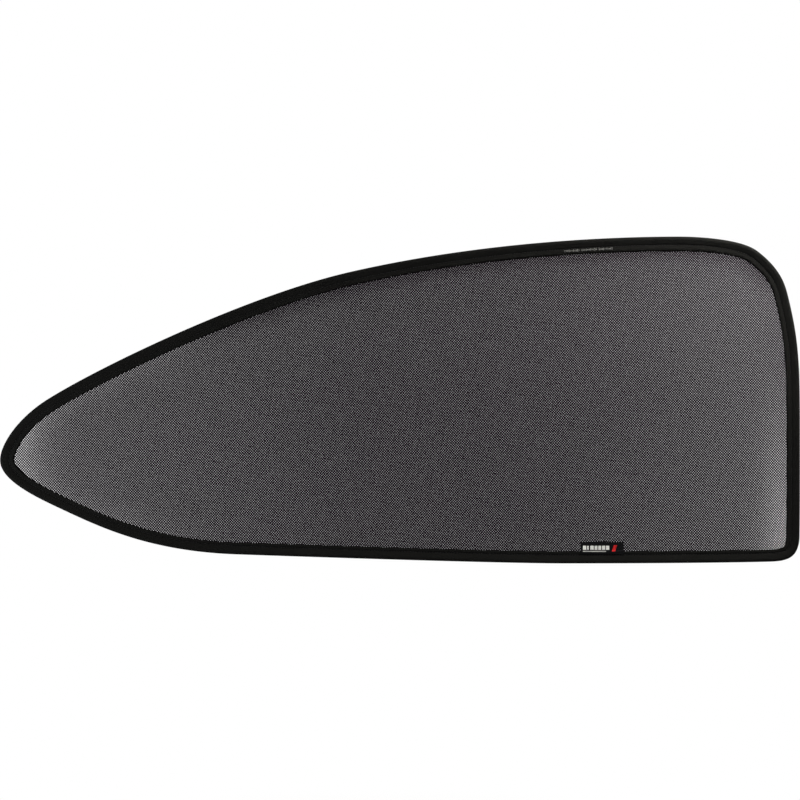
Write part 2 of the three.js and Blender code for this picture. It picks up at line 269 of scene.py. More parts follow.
def ripple(gone, share, waves, phases):
    """A gentle wave along the edge, which closes on itself."""
    turn = 2 * math.pi * np.asarray(gone) / OUTLINE.length
    return share * sum(np.sin(turn * wave + phase) for wave, phase in zip(waves, phases)) / len(waves)


def pucker(gone, depth, amount):
    """How far the sewn border stands out or in at a place on the tape. It fades over the wire's casing."""
    border = ramp(PANEL_EDGE - 1.5 * MM, PANEL_EDGE + 2.5 * MM, np.asarray(depth))
    return amount * border * (ripple(gone, *FINE_RIPPLE) + ripple(gone, *COARSE_RIPPLE))


def front_profile(lip, inset):
    """Depths and Ys of the tape's cabin face from beside the casing's crest to the inner lip. It falls into
    the sewn crease and rises again on the border."""
    crease = PANEL_EDGE + inset
    points = [(CASING_RADIUS + CREST, -math.sqrt(CASING_RADIUS ** 2 - CREST ** 2))]
    points += [(crease + depth * MM, SEAM_FACE + y * MM) for depth, y in CREASE_POINTS]
    points += [(crease + share * (lip - crease), SEAM_FACE + y * MM) for share, y in LAND_POINTS]
    points += [(lip - TAPE_THICKNESS / 2, SEAM_FACE)]
    return np.array(points).T


def run_along(depths, ys):
    """How far along a line in a section each of its points lies."""
    return np.concatenate([[0], np.cumsum(np.hypot(np.diff(depths), np.diff(ys)))])


def smooth_line(depths, ys, count):
    """A soft curve through given points, as count points."""
    knots = run_along(depths, ys)
    at = np.linspace(0, knots[-1], count)
    before = np.clip(np.searchsorted(knots, at, side="right") - 1, 0, len(knots) - 2)
    after = before + 1
    width = knots[after] - knots[before]
    t = (at - knots[before]) / width
    leaving = (t ** 3 - 2 * t ** 2 + t) * width
    arriving = (t ** 3 - t ** 2) * width
    curve = []
    for values in (depths, ys):
        slopes = np.gradient(values, knots)
        between = values[before] * (1 - smooth(t)) + values[after] * smooth(t)
        curve.append(between + leaving * slopes[before] + arriving * slopes[after])
    return curve


def arc(middle, radius, start, end, count):
    """Points of an arc in a section. 0 degrees points inward and 90 to the back."""
    angles = np.radians(np.linspace(start, end, count))
    return middle[0] + radius * np.cos(angles), middle[1] + radius * np.sin(angles)


def tape_section(lip, front_lip, inset):
    """The tape's closed section, as depths, Ys and each point's painted shade, from 0 to 1: shade painted
    into the sewn crease, round the front lip and over the ledge and lining. It runs from the back lip over the
    casing to the front lip, on to the thin ledge under that, and back along the lining."""
    half = TAPE_THICKNESS / 2
    ledge = (LEDGE_LINING - LEDGE_FACE) / 2
    fold = (CASING_RADIUS, 0)
    front = smooth_line(*front_profile(front_lip, inset), 21)
    crest = math.degrees(math.acos(CREST / CASING_RADIUS))
    lining = CASING_RADIUS - TAPE_THICKNESS
    crease = PANEL_EDGE + inset
    back = [(lip - half, 0), (lip - 1.5 * MM, 0)]
    back += [(crease + depth * MM, under * MM) for depth, under in GROOVE_POINTS]
    back += [(CASING_RADIUS + 2.5 * MM, 0), (CASING_RADIUS + 0.5 * MM, 0)]
    back = np.array(back).T
    parts = [
        ("open", (back[0], CASING_RADIUS - back[1])),
        ("open", arc(fold, CASING_RADIUS, 90, 360 - crest, 17)),
        ("border", (front[0][1:], front[1][1:])),
        ("lip", arc((front_lip - half, SEAM_FACE + half), half, -60, 40, 5)),
        ("inside", (np.array([front_lip + 0.05 * MM, lip - 2 * ledge]), np.full(2, LEDGE_FACE))),
        ("inside", arc((lip - ledge, LEDGE_FACE + ledge), ledge, -45, 90, 4)),
        ("inside", (np.linspace(lip - 3 * ledge, PANEL_EDGE, 3), np.full(3, LEDGE_LINING))),
        ("inside", arc(fold, lining, 320, 90, 8)),
        ("inside", (np.array([PANEL_EDGE, lip - 2 * half]), np.full(2, lining))),
        ("open", arc((lip - half, CASING_RADIUS - half), half, -90, 60, 5)),
    ]
    depths = np.concatenate([line[0] for _, line in parts])
    ys = np.concatenate([line[1] for _, line in parts])
    kinds = np.concatenate([[kind] * len(line[0]) for kind, line in parts])
    # Painted shade: a soft dark band along the sewn crease, darker round the front lip, and full shade on the
    # ledge and lining
    near_crease = 0.6 * np.exp(-((depths - crease) / (0.75 * MM)) ** 2)
    near_lip = ramp(-60, 40, np.degrees(np.arctan2(ys - SEAM_FACE - half, depths - front_lip + half)))
    fold_shade = np.select([kinds == "border", kinds == "lip", kinds == "inside"], [near_crease, near_lip, 1], 0)
    return depths, ys, fold_shade


def front_y(gone, depth):
    """Y of the tape's cabin face at a place on the border or the slope to it."""
    sizes = bpy.context.scene.shade_tape
    lip = OUTLINE.front_lip(gone, sizes.overlap)
    heights = []
    for each_lip, each_depth in np.broadcast(lip, depth):
        line = smooth_line(*front_profile(float(each_lip), sizes.crease_inset), 40)
        heights.append(np.interp(each_depth, line[0], line[1]))
    return np.array(heights) + pucker(gone, depth, sizes.pucker)


# Meshes and modifiers


def set_values(mesh, name, values):
    """Gives each of a mesh's points a number under a name."""
    mesh.attributes.new(name, "FLOAT", "POINT").data.foreach_set("value", np.asarray(values, np.float32))


def new_piece(name, verts, faces, material, uv=None, fold_shade=None):
    """A mesh object in the scene with one material. uv gives each face corner's place in metres, and the
    last argument each point's painted shade, from the tape's crease, lip and ledge."""
    mesh = bpy.data.meshes.new(name)
    mesh.from_pydata(np.asarray(verts).tolist(), [], [list(map(int, face)) for face in faces])
    if uv is not None:
        layer = mesh.uv_layers.new(name="cloth")
        layer.data.foreach_set("uv", np.asarray(uv, dtype=np.float32).ravel())
    if fold_shade is not None:
        set_values(mesh, "fold_shade", fold_shade)
    mesh.validate()
    mesh.update()
    mesh.materials.append(material)
    mesh.shade_smooth()
    piece = bpy.data.objects.new(name, mesh)
    bpy.context.scene.collection.objects.link(piece)
    return piece


def plain_copy(piece):
    """Turns what a piece's modifiers make into its plain mesh, and removes them."""
    graph = bpy.context.evaluated_depsgraph_get()
    mesh = bpy.data.meshes.new_from_object(piece.evaluated_get(graph))
    mesh.name = piece.name
    piece.modifiers.clear()
    piece.data = mesh


def ring_faces(rings, corners):
    """Quads of a closed ring of closed sections."""
    ring, corner = np.meshgrid(np.arange(rings), np.arange(corners), indexing="ij")
    next_ring, next_corner = (ring + 1) % rings, (corner + 1) % corners
    quads = [ring * corners + corner, next_ring * corners + corner,
             next_ring * corners + next_corner, ring * corners + next_corner]
    return np.stack(quads, axis=-1).reshape(-1, 4)


class Tree:
    """A node tree under construction, of a material or of Geometry Nodes."""

    def __init__(self, tree):
        self.tree = tree

    def node(self, kind, settings=None, inputs=None):
        made = self.tree.nodes.new(kind)
        for name, value in (settings or {}).items():
            setattr(made, name, value)
        for key, value in (inputs or {}).items():
            self.feed(made.inputs[key], value)
        return made

    def feed(self, socket, value):
        if isinstance(value, Value):
            value = value.socket
        if isinstance(value, bpy.types.Node):
            value = value.outputs[0]
        if isinstance(value, bpy.types.NodeSocket):
            self.tree.links.new(value, socket)
        else:
            socket.default_value = value

    def value(self, node, output=0):
        return Value(self, node.outputs[output])

    def seen(self):
        """1 for what the camera sees straight, mirrored or through something clear, and 0 for light."""
        path = self.node("ShaderNodeLightPath")
        camera, mirrored, clear = (
            self.value(path, f"Is {kind} Ray") for kind in ("Camera", "Glossy", "Transmission"))
        return camera.most(mirrored).most(clear)


class Value:
    """A number in a node tree. Arithmetic on it adds Math nodes."""

    def __init__(self, tree, socket):
        self.tree, self.socket = tree, socket

    def maths(self, operation, *values):
        inputs = dict(enumerate(values))
        return self.tree.value(self.tree.node("ShaderNodeMath", {"operation": operation}, inputs))

    def __add__(self, other):
        return self.maths("ADD", self, other)

    def __sub__(self, other):
        return self.maths("SUBTRACT", self, other)

    def __rsub__(self, other):
        return self.maths("SUBTRACT", other, self)

    def __mul__(self, other):
        return self.maths("MULTIPLY", self, other)

    def __truediv__(self, other):
        return self.maths("DIVIDE", self, other)

    __radd__, __rmul__ = __add__, __mul__

    def sine(self):
        return self.maths("SINE", self)

    def size(self):
        return self.maths("ABSOLUTE", self)

    def most(self, other):
        return self.maths("MAXIMUM", self, other)

    def above(self, edge, soft):
        """1 where the number is over an edge and 0 under it, with a soft step between."""
        node = self.tree.node("ShaderNodeMapRange", {"interpolation_type": "SMOOTHSTEP"}, {
            "Value": self, "From Min": edge - soft / 2, "From Max": edge + soft / 2})
        return self.tree.value(node)

    def within(self, low, high, soft):
        return self.above(low, soft) * (1 - self.above(high, soft))


class Group(Tree):
    """A Geometry Nodes tree under construction. It takes a mesh, numbers by name and a material."""

    def __init__(self, name, *numbers):
        super().__init__(bpy.data.node_groups.new(name, "GeometryNodeTree"))
        interface = self.tree.interface
        interface.new_socket("Geometry", in_out="INPUT", socket_type="NodeSocketGeometry")
        for number in numbers:
            interface.new_socket(number, in_out="INPUT", socket_type="NodeSocketFloat")
        interface.new_socket("Material", in_out="INPUT", socket_type="NodeSocketMaterial")
        interface.new_socket("Geometry", in_out="OUTPUT", socket_type="NodeSocketGeometry")
        self.given = self.node("NodeGroupInput").outputs

    def number(self, name):
        return Value(self, self.given[name])

    def done(self, geometry):
        real = self.node("GeometryNodeRealizeInstances", inputs={"Geometry": geometry})
        painted = self.node("GeometryNodeSetMaterial", inputs={
            "Geometry": real, "Material": self.given["Material"]})
        self.node("NodeGroupOutput", inputs={"Geometry": painted})
        return self.tree


class Finish(Tree):
    """A material under construction on a Principled shader."""

    def __init__(self, name, **constants):
        self.material = bpy.data.materials.new(name)
        self.material.use_nodes = True
        super().__init__(self.material.node_tree)
        self.shader = self.tree.nodes["Principled BSDF"]
        for key, value in constants.items():
            self.shader.inputs[key.replace("_", " ")].default_value = value

    def place(self):
        """The object coordinates, as a vector and as X, Y and Z in metres."""
        vector = self.node("ShaderNodeTexCoord").outputs["Object"]
        parts = self.node("ShaderNodeSeparateXYZ", inputs={0: vector})
        return vector, [self.value(parts, i) for i in range(3)]

    def cloth_uv(self):
        """The piece's own UV map in metres, as a vector and as U along and V across."""
        vector = self.node("ShaderNodeUVMap", {"uv_map": "cloth"}).outputs[0]
        parts = self.node("ShaderNodeSeparateXYZ", inputs={0: vector})
        return vector, [self.value(parts, i) for i in range(2)]

    def noise(self, vector, scale, detail=3.0, stretch=None):
        """Soft noise about 0.5, with a scale in lumps to the metre."""
        if stretch:
            vector = self.node("ShaderNodeMapping", inputs={"Vector": vector, "Scale": stretch})
        node = self.node("ShaderNodeTexNoise", inputs={"Vector": vector, "Scale": scale, "Detail": detail})
        return self.value(node)

    def mix(self, mask, plain, marked):
        """One colour or another by a mask."""
        return self.node("ShaderNodeMix", {"data_type": "RGBA"}, {0: mask, 6: plain, 7: marked}).outputs[2]

    def tint(self, colour, amount):
        """A colour made lighter or darker by a factor that varies."""
        grey = self.node("ShaderNodeCombineXYZ", inputs={0: amount, 1: amount, 2: amount})
        colour = colour if isinstance(colour, bpy.types.NodeSocket) else tuple(colour)[:3]
        return self.node("ShaderNodeVectorMath", {"operation": "MULTIPLY"}, {0: grey, 1: colour})

    def bump(self, height, distance):
        return self.node("ShaderNodeBump", inputs={"Height": height, "Distance": distance})

    def done(self, **sockets):
        for key, value in sockets.items():
            self.feed(self.shader.inputs[key.replace("_", " ")], value)
        return self.material


# Materials

KNIT_WALE = 0.95 * MM
KNIT_COURSE = 0.8 * MM


def tape_finish(colour):
    """Fine black warp-knitted tape: rows of small loops along it, paler where rubbed, with painted shade in
    its crease, round its front lip and over the ledge and lining.
    """
    paint = Finish("edge_tape", Specular_IOR_Level=0.012, Sheen_Weight=0.02, Sheen_Roughness=0.4)
    vector, (along, across) = paint.cloth_uv()
    # The painted shade stored on the tape's points darkens its colour in the crease, round the lip and on the
    # ledge
    fold_shade = paint.value(paint.node("ShaderNodeAttribute", {"attribute_name": "fold_shade"}), "Fac")
    wales = (across * (2 * math.pi / KNIT_WALE)).sine()
    slant = across * 0.9 - (wales * 0.12 * MM).size()
    loops = ((along + slant) * (2 * math.pi / KNIT_COURSE)).sine()
    fuzz = paint.noise(vector, 2600, 2)
    wear = paint.noise(vector, 45, 4, stretch=(0.4, 1.5, 1))
    knit = wales * 0.5 + loops * 0.35 + fuzz * 0.5
    shade = (0.8 + knit * 0.1 + wear * 0.35) * (1 - fold_shade * 0.7)
    return paint.done(
        Base_Color=paint.tint(colour, shade),
        Roughness=0.8 + fuzz * 0.15,
        Normal=paint.bump(knit, 0.09 * MM),
    )


def net_finish(colour):
    """Black polyester thread: fine filaments along it, a faint warm cast, and a few dusty stretches."""
    paint = Finish("mesh_cloth", Specular_IOR_Level=0.04, Sheen_Weight=0.03, Sheen_Roughness=0.5)
    vector, _ = paint.place()
    filaments = paint.noise(vector, 3600, 2)
    dust = paint.noise(vector, 14, 3)
    return paint.done(
        Base_Color=paint.tint(colour, 0.72 + filaments * 0.3 + dust * 0.28),
        Roughness=0.62 + filaments * 0.25,
        Normal=paint.bump(filaments, 0.05 * MM),
    )


def stitch_finish():
    """Black sewing thread, a little glossier than the tape."""
    paint = Finish("stitch_thread", Specular_IOR_Level=0.1)
    vector, _ = paint.place()
    twist = paint.noise(vector, 5200, 1)
    return paint.done(
        Base_Color=paint.tint((0.012, 0.012, 0.0125), 0.7 + twist * 0.6),
        Roughness=0.45 + twist * 0.2,
        Normal=paint.bump(twist, 0.04 * MM),
    )


# The label's marks, as spans in millimetres from its lower left corner: the pale blocks and their band, the
# thin rule under them and its band, and the red bar, which leans, and its band
LABEL_BLOCKS = ((2.8, 6.6), (7.5, 9.6), (11.3, 15.3), (16.3, 19.6), (20.6, 24), (25, 28.6), (29.6, 33.4))
BLOCK_BAND = (4.9, 9.6)
LABEL_RULE = (2.8, 29.5)
RULE_BAND = (2.5, 3.7)
LABEL_BAR = (35, 39)
BAR_BAND = (3, 10.4)
BAR_LEAN = 0.35


def label_finish():
    """Black satin weave with woven pale blocks and one small red bar."""
    paint = Finish("label_weave", Specular_IOR_Level=0.02)
    vector, (x, _, z) = paint.place()
    across, up = x - LABEL_LOW[0], z - LABEL_LOW[2]
    weft = (up * (2 * math.pi / (0.32 * MM))).sine()
    warp = (across * (2 * math.pi / (0.3 * MM))).sine()
    weave = weft * 0.5 + warp * weft * 0.35

    def on(value, span):
        return value.within(span[0] * MM, span[1] * MM, 0.12 * MM)

    blocks = sum(on(across, block) for block in LABEL_BLOCKS) * on(up, BLOCK_BAND)
    rule = on(across, LABEL_RULE) * on(up, RULE_BAND)
    bar = on(across - up * BAR_LEAN, LABEL_BAR) * on(up, BAR_BAND)
    black = paint.tint((0.0055, 0.0055, 0.0065), 0.85 + weave * 0.25)
    pale = paint.tint((0.72, 0.72, 0.70), 0.9 + weave * 0.1)
    marked = paint.mix(blocks + rule * 0.5, black, pale)
    red = paint.tint((0.5, 0.02, 0.022), 0.9 + weave * 0.15)
    return paint.done(
        Base_Color=paint.mix(bar, marked, red),
        Roughness=0.7 + weave * 0.08,
        Normal=paint.bump(weave + paint.noise(vector, 4000, 1) * 0.4, 0.05 * MM),
    )


def print_finish():
    """Pale grey rubber print, thin enough for the knit to show through it."""
    paint = Finish("tape_print", Specular_IOR_Level=0.3)
    vector, _ = paint.place()
    grain = paint.noise(vector, 1800, 3)
    return paint.done(
        Base_Color=paint.tint((0.115, 0.115, 0.112), 0.5 + grain),
        Roughness=0.5 + grain * 0.3,
        Normal=paint.bump(grain, 0.05 * MM),
    )


def steel_finish(name, colour, roughness):
    """Drawn or plated metal with fine marks along it."""
    paint = Finish(name, Metallic=1.0)
    vector, _ = paint.place()
    marks = paint.noise(vector, 700, 4, stretch=(0.1, 3, 1))
    return paint.done(
        Base_Color=paint.tint(colour, 0.85 + marks * 0.3),
        Roughness=roughness + marks * 0.2,
        Normal=paint.bump(marks, 0.02 * MM),
    )


# Operators


class SHADE_OT_tape(bpy.types.Operator):
    """Make the folded edge tape round the outline"""

    bl_idname = "shade.tape"
    bl_label = "Edge Tape"

    def execute(self, context):
        sizes = context.scene.shade_tape
        rings = OUTLINE.even(sizes.step)
        verts, rounds, fold_shades = [], [], []
        for gone, lip, front_lip in zip(rings, OUTLINE.lip(rings), OUTLINE.front_lip(rings, sizes.overlap)):
            depths, ys, fold_shade = tape_section(lip, front_lip, sizes.crease_inset)
            y = ys + pucker(gone, depths, sizes.pucker)
            at = OUTLINE.place(np.full(len(depths), gone), depths)
            verts.append(np.stack([at[:, 0], y, at[:, 1]], axis=-1))
            rounds.append(run_along(depths, ys))
            fold_shades.append(fold_shade)
        rounds = np.array(rounds)
        count, corners = rounds.shape
        faces = ring_faces(count, corners)
        ring, corner = faces // corners, faces % corners

        # The cloth of a face that closes the ring or the section goes on past the end, not back to the start
        closing_ring = (ring[:, [0]] == count - 1) & (ring == 0)
        along = rings[ring] + np.where(closing_ring, OUTLINE.length, 0)
        closing_section = (corner[:, [0]] == corners - 1) & (corner == 0)
        across = np.where(closing_section, rounds[ring, -1] + TAPE_THICKNESS / 2, rounds[ring, corner])
        # Each point carries its painted shade for the tape's material
        piece = new_piece("edge_tape", np.concatenate(verts), faces, tape_finish(sizes.colour),
                          np.stack([along, across], axis=-1).reshape(-1, 2), np.concatenate(fold_shades))
        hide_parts("edge_binding")
        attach(piece, BODY)
        return {"FINISHED"}


# Threads cross on a diagonal lattice. Each family has its threads' direction, as degrees up from +X, its
# pitch and how far its middle lies in front of the cloth's middle.
THREADS = (
    (49.5, 2.155 * MM, 0.07 * MM),
    (-45.0, 2.16 * MM, -0.07 * MM),
)

# A thread has so many steps over a long line's length, and it is as thick as set where it is as wide as this
THREAD_STEPS = 14
LONG_LINE = 0.4
THREAD_WIDTH = 1.65 * MM

# How far the threads end inside the cloth's edge, how many places along a line are tried for where it crosses
# that edge, and the edge's own step
NET_TUCK = 0.5 * MM
LINE_SAMPLES = 1600
EDGE_STEP = 8 * MM

# Where the cloth is made more open, as painted light for brighter light seen through it, as spans in metres
# from the shade's middle over which that sets in: towards the rear edge, into the nose, towards the roof, down
# the rear edge, and beside the nose's lip
REAR_SPAN = (0.09, 0.407)
NOSE_SPAN = (-0.05, -0.33)
ROOF_SPAN = (0, 0.145)
LOW_REAR_SPAN = (0.05, -0.155)
NOSE_LIP_SPAN = (-0.2, -0.33)

# Where the threads widen under the roof tape, as painted shade for that tape's shadow: how far the edge faces
# down the roof, and the X from which it does
UNDER_ROOF_SPAN = (0.3, 0.7)
ROOF_LIP_SPAN = (-0.26, -0.16)

# How far in from the rear edge and from the nose tip it is most open, and how far each of these reaches on
REAR_INSET = 6 * MM
NOSE_INSET = 20 * MM
REAR_REACH = 25 * MM
NOSE_REACH = 20 * MM
NOSE_LIP_REACH = 10 * MM
ROOF_LIP_REACH = 6.5 * MM

# What the roof adds and the painted shade under its tape takes away, as shares of the openness there, and what
# the nose tip and the nose's lip add, as shares of the painted light openness
ROOF_GAIN = 0.25
ROOF_LIP_LOSS = 0.75
NOSE_GAIN = 0.8
NOSE_LIP_GAIN = 0.25


def inside_convex(points, ring):
    """Which points lie inside a counterclockwise convex ring."""
    edge = np.roll(ring, -1, axis=0) - ring
    inside = np.ones(len(points), bool)
    for corner, (dx, dz) in zip(ring, edge):
        inside &= dx * (points[:, 1] - corner[1]) - dz * (points[:, 0] - corner[0]) >= 0
    return inside


def fading(away, reach):
    """1 up to a place and less and less beyond it."""
    return np.exp(-np.clip(away, 0, None) / reach)


def open_share(points, sizes):
    """Share of the pitch that is open between threads. The cloth is made wider open towards the rear edge, its
    low corner and the nose tip as painted light for brighter light seen through it, a little wider towards the
    roof, and closes up under the roof tape's lip as painted shade for that tape's shadow."""
    x, z = points[:, 0], points[:, 1]
    stations = OUTLINE.even(EDGE_STEP)
    edge = OUTLINE.place(stations, 0)
    distances = np.sqrt(((points[:, None, :] - edge[None, :, :]) ** 2).sum(-1))
    nearest = distances.argmin(1)
    from_lip = distances.min(1) - OUTLINE.lip(stations)[nearest]
    rearward = -OUTLINE.read(stations, OUTLINE.alongs)[nearest, 0]
    under_roof = ramp(*UNDER_ROOF_SPAN, rearward) * ramp(*ROOF_LIP_SPAN, x)
    middle = sizes.openness
    area = middle + (sizes.rear_openness - middle) * ramp(*REAR_SPAN, x) ** 2
    area += (sizes.nose_openness - middle) * ramp(*NOSE_SPAN, x)
    area *= 1 + ROOF_GAIN * ramp(*ROOF_SPAN, z)
    # Painted light: more open at the rear low corner, the nose tip and beside the nose's lip
    rear = np.exp(-((PANEL_HIGH[0] - REAR_INSET - x) / REAR_REACH) ** 2) * ramp(*LOW_REAR_SPAN, z)
    nose = NOSE_GAIN * fading(x - PANEL_LOW[0] - NOSE_INSET, NOSE_REACH)
    beside_nose = NOSE_LIP_GAIN * ramp(*NOSE_LIP_SPAN, x) * fading(from_lip, NOSE_LIP_REACH)
    area += sizes.painted_light_openness * (rear + nose + beside_nose)
    # Painted shade: the threads widen under the roof tape's lip for that tape's shadow
    area *= 1 - ROOF_LIP_LOSS * under_roof * fading(from_lip, ROOF_LIP_REACH)
    return np.sqrt(area)


def thread_lines(sizes):
    """Centre lines of all threads: points, edges, and each point's width."""
    ring = OUTLINE.place(OUTLINE.even(EDGE_STEP), PANEL_EDGE + NET_TUCK)
    reach = np.abs(ring).max() * 1.2
    along = np.linspace(-reach, reach, LINE_SAMPLES)
    points, edges, widths = [], [], []
    count = 0
    for degrees, pitch, front in THREADS:
        run = direction(degrees)
        across = np.array([-run[1], run[0]])
        offsets = ring @ across
        first, last = math.ceil(offsets.min() / pitch), math.floor(offsets.max() / pitch)
        for offset in np.arange(first, last + 1) * pitch:
            line = across * offset + run * along[:, None]
            hits = np.nonzero(inside_convex(line, ring))[0]
            if len(hits) < 3:
                continue
            start, end = along[hits[0]], along[hits[-1]]
            steps = np.clip(round(THREAD_STEPS * (end - start) / LONG_LINE), 2, 2 * THREAD_STEPS)
            line = across * offset + run * np.linspace(start, end, steps + 1)[:, None]
            points.append(np.stack([line[:, 0], np.full(len(line), NET_MIDDLE - front), line[:, 1]], axis=-1))
            widths.append(pitch * (1 - open_share(line, sizes)))
            edges.append(np.stack([np.arange(len(line) - 1), np.arange(1, len(line))], axis=-1) + count)
            count += len(line)
    return np.concatenate(points), np.concatenate(edges), np.concatenate(widths)


def net_tree():
    """Sweeps a flat thread's section along each line, as wide as the line's width says."""
    tree = Group("Net Threads", "Thickness")
    lines = tree.node("GeometryNodeMeshToCurve", inputs={"Mesh": tree.given["Geometry"]})
    flat = tree.node("GeometryNodeSetCurveNormal", {"mode": "Z_UP"}, {"Curve": lines})
    width = tree.node("GeometryNodeInputNamedAttribute", {"data_type": "FLOAT"}, {"Name": "width"})
    circle = tree.node("GeometryNodeCurvePrimitiveCircle", inputs={"Resolution": 6, "Radius": 0.5})
    turned = tree.node("GeometryNodeTransform", inputs={"Geometry": circle, "Rotation": (0, 0, math.pi / 2)})
    squeeze = tree.number("Thickness") / THREAD_WIDTH
    scale = tree.node("ShaderNodeCombineXYZ", inputs={0: squeeze, 1: 1.0, 2: 1.0})
    section = tree.node("GeometryNodeTransform", inputs={"Geometry": turned, "Scale": scale})
    swept = tree.node("GeometryNodeCurveToMesh", inputs={
        "Curve": flat, "Profile Curve": section, "Scale": width.outputs[0], "Fill Caps": True})
    return tree.done(tree.node("GeometryNodeSetShadeSmooth", inputs={"Geometry": swept}))


def use_tree(piece, group, values):
    """Puts a Geometry Nodes tree on a piece, with its named inputs set."""
    modifier = piece.modifiers.new(group.name, "NODES")
    modifier.node_group = group
    for item in group.interface.items_tree:
        if item.in_out == "INPUT" and item.name in values:
            modifier[item.identifier] = values[item.name]


def line_piece(name, points, edges, widths=None):
    """An object of bare edges in the scene. widths gives each point a thread's width."""
    mesh = bpy.data.meshes.new(name)
    mesh.from_pydata(points.tolist(), edges.tolist(), [])
    if widths is not None:
        set_values(mesh, "width", widths)
    piece = bpy.data.objects.new(name, mesh)
    bpy.context.scene.collection.objects.link(piece)
    return piece


class SHADE_OT_net(bpy.types.Operator):
    """Stretch the net inside the tape"""

    bl_idname = "shade.net"
    bl_label = "Net"

    def execute(self, context):
        sizes = context.scene.shade_net
        piece = line_piece("mesh_net", *thread_lines(sizes))
        material = net_finish(sizes.colour)
        use_tree(piece, net_tree(), {"Thickness": sizes.thickness, "Material": material})
        plain_copy(piece)
        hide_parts("mesh_panel")
        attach(piece, BODY)
        ring = OUTLINE.place(OUTLINE.even(3 * MM), PANEL_EDGE)
        return {"FINISHED"}


def stitch_tree():
    """Lays one stitch after another along each line."""
    numbers = ("Pitch", "Stitch Length", "Thread Radius")
    tree = Group("Stitches", *numbers)
    pitch, length, radius = map(tree.number, numbers)
    lines = tree.node("GeometryNodeMeshToCurve", inputs={"Mesh": tree.given["Geometry"]})
    places = tree.node("GeometryNodeCurveToPoints", {"mode": "LENGTH"}, {"Curve": lines, "Length": pitch})
    grain = tree.node("GeometryNodeMeshUVSphere", inputs={"Segments": 6, "Rings": 5, "Radius": 1.0})
    scale = tree.node("ShaderNodeCombineXYZ", inputs={0: length * 0.5, 1: radius, 2: radius})
    lying = tree.node("GeometryNodeTransform", inputs={"Geometry": grain, "Rotation": (0, math.pi / 2, 0)})
    stitch = tree.node("GeometryNodeTransform", inputs={"Geometry": lying, "Scale": scale})
    soft = tree.node("GeometryNodeSetShadeSmooth", inputs={"Geometry": stitch})
    tangent = places.outputs["Tangent"]
    turned = tree.node("FunctionNodeAlignRotationToVector", {"axis": "X"}, {"Vector": tangent})
    row = tree.node("GeometryNodeInstanceOnPoints", inputs={
        "Points": places, "Instance": soft, "Rotation": turned})
    return tree.done(row)


class SHADE_OT_stitches(bpy.types.Operator):
    """Sew the tape's border with a row of stitches on each face"""

    bl_idname = "shade.stitches"
    bl_label = "Stitches"

    def execute(self, context):
        sizes, tape = context.scene.shade_stitch, context.scene.shade_tape
        rows = OUTLINE.even(tape.step)
        count = len(rows)
        depth = np.full(count, PANEL_EDGE + tape.crease_inset)
        at = OUTLINE.place(rows, depth)
        front = front_y(rows, depth) - sizes.radius * 0.2
        back = CASING_RADIUS - 0.2 * MM + pucker(rows, depth, tape.pucker) + sizes.radius * 0.2
        points = [np.stack([at[:, 0], y, at[:, 1]], axis=-1) for y in (front, back)]
        loop = np.stack([np.arange(count), (np.arange(count) + 1) % count], axis=-1)
        piece = line_piece("tape_stitches", np.concatenate(points), np.concatenate([loop, loop + count]))
        use_tree(piece, stitch_tree(), {
            "Pitch": sizes.pitch, "Stitch Length": sizes.length, "Thread Radius": sizes.radius,
            "Material": stitch_finish()})
        plain_copy(piece)
        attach(piece, BODY)
        return {"FINISHED"}


def grid_faces(columns, rows):
    """Quads of a grid of points, column by column."""
    column, row = np.meshgrid(np.arange(columns - 1), np.arange(rows - 1), indexing="ij")
    first = column * rows + row
    return np.stack([first, first + rows, first + rows + 1, first + 1], axis=-1).reshape(-1, 4)


# How far the label lies on the tape, the height over which it goes down to the net, how far its upper edge
# waves and stands off, and how round its corners and its edges are
LABEL_LAP = 3.3 * MM
LABEL_DROP = 1.4 * MM
LABEL_WAVE = 0.18 * MM
LABEL_LIFT = 0.12 * MM
LABEL_CORNER = 0.9 * MM
LABEL_EDGE = 0.12 * MM

# How many points the label has along it, and up it on the tape and above the tape
LABEL_COLUMNS = 61
LAP_ROWS = 6
OPEN_ROWS = 26


